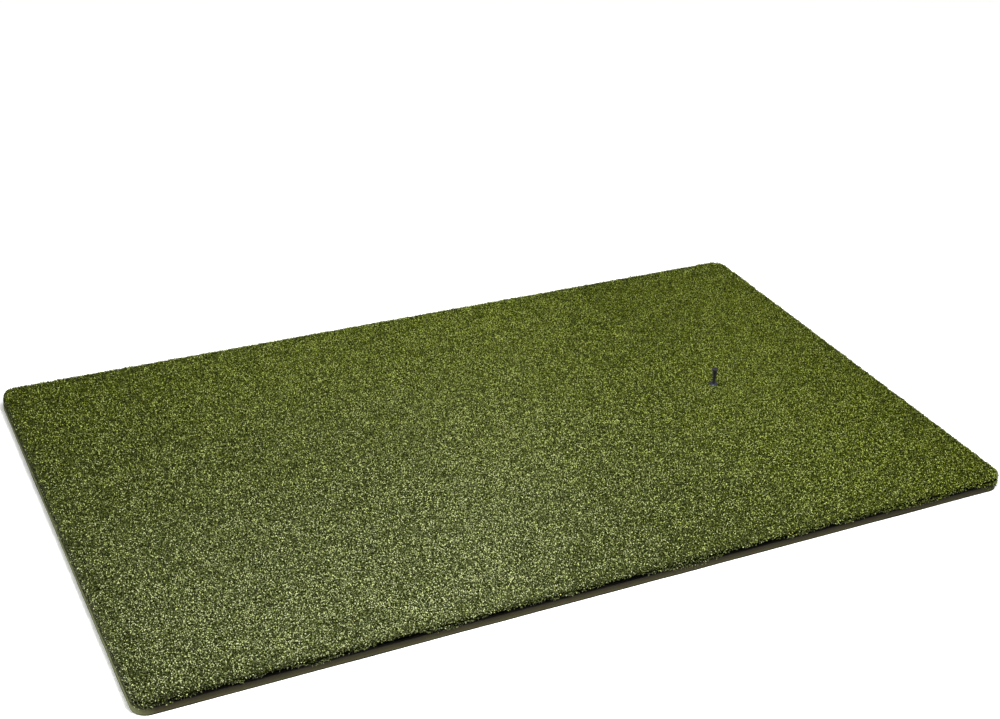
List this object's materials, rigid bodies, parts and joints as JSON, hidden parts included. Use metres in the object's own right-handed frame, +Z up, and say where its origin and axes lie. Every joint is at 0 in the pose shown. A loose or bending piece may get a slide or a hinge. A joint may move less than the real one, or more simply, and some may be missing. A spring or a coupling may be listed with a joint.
{
  "type": "golf hitting mat",
  "caption": "Rectangular golf hitting mat: curly green artificial turf bonded to a foam pad, with a rubber tee standing in a flanged push-in holder.",
  "frame": {"origin": "on the floor, under the centre of the mat", "axes": "+Z up, +X along the mat's long side towards the end with the tee, +Y towards the back long side"},
  "size_m": [1.524, 0.9144, 0.0615],
  "materials": {
    "turf": "satin",
    "backing": "matte",
    "latex": "matte",
    "adhesive": "matte",
    "foam": "matte",
    "skin": "matte",
    "holder_rubber": "satin",
    "tee_rubber": "satin"
  },
  "bodies": {
    "mat": {"base_skin": "skin", "foam_pad": "foam", "bonding_film": "adhesive", "latex_coat": "latex", "primary_backing": "backing", "turf_pile": "turf"},
    "holder": {"tee_holder": "holder_rubber"},
    "tee": {"tee": "tee_rubber"}
  },
  "joints": [
    {"name": "holder_draw", "type": "slide", "parent": "mat", "child": "holder", "axis": [0, 0, -1], "range_m": [0, 0.064]},
    {"name": "tee_lift", "type": "slide", "parent": "holder", "child": "tee", "axis": [0, 0, 1], "range_m": [-0.012, 0.025]}
  ]
}
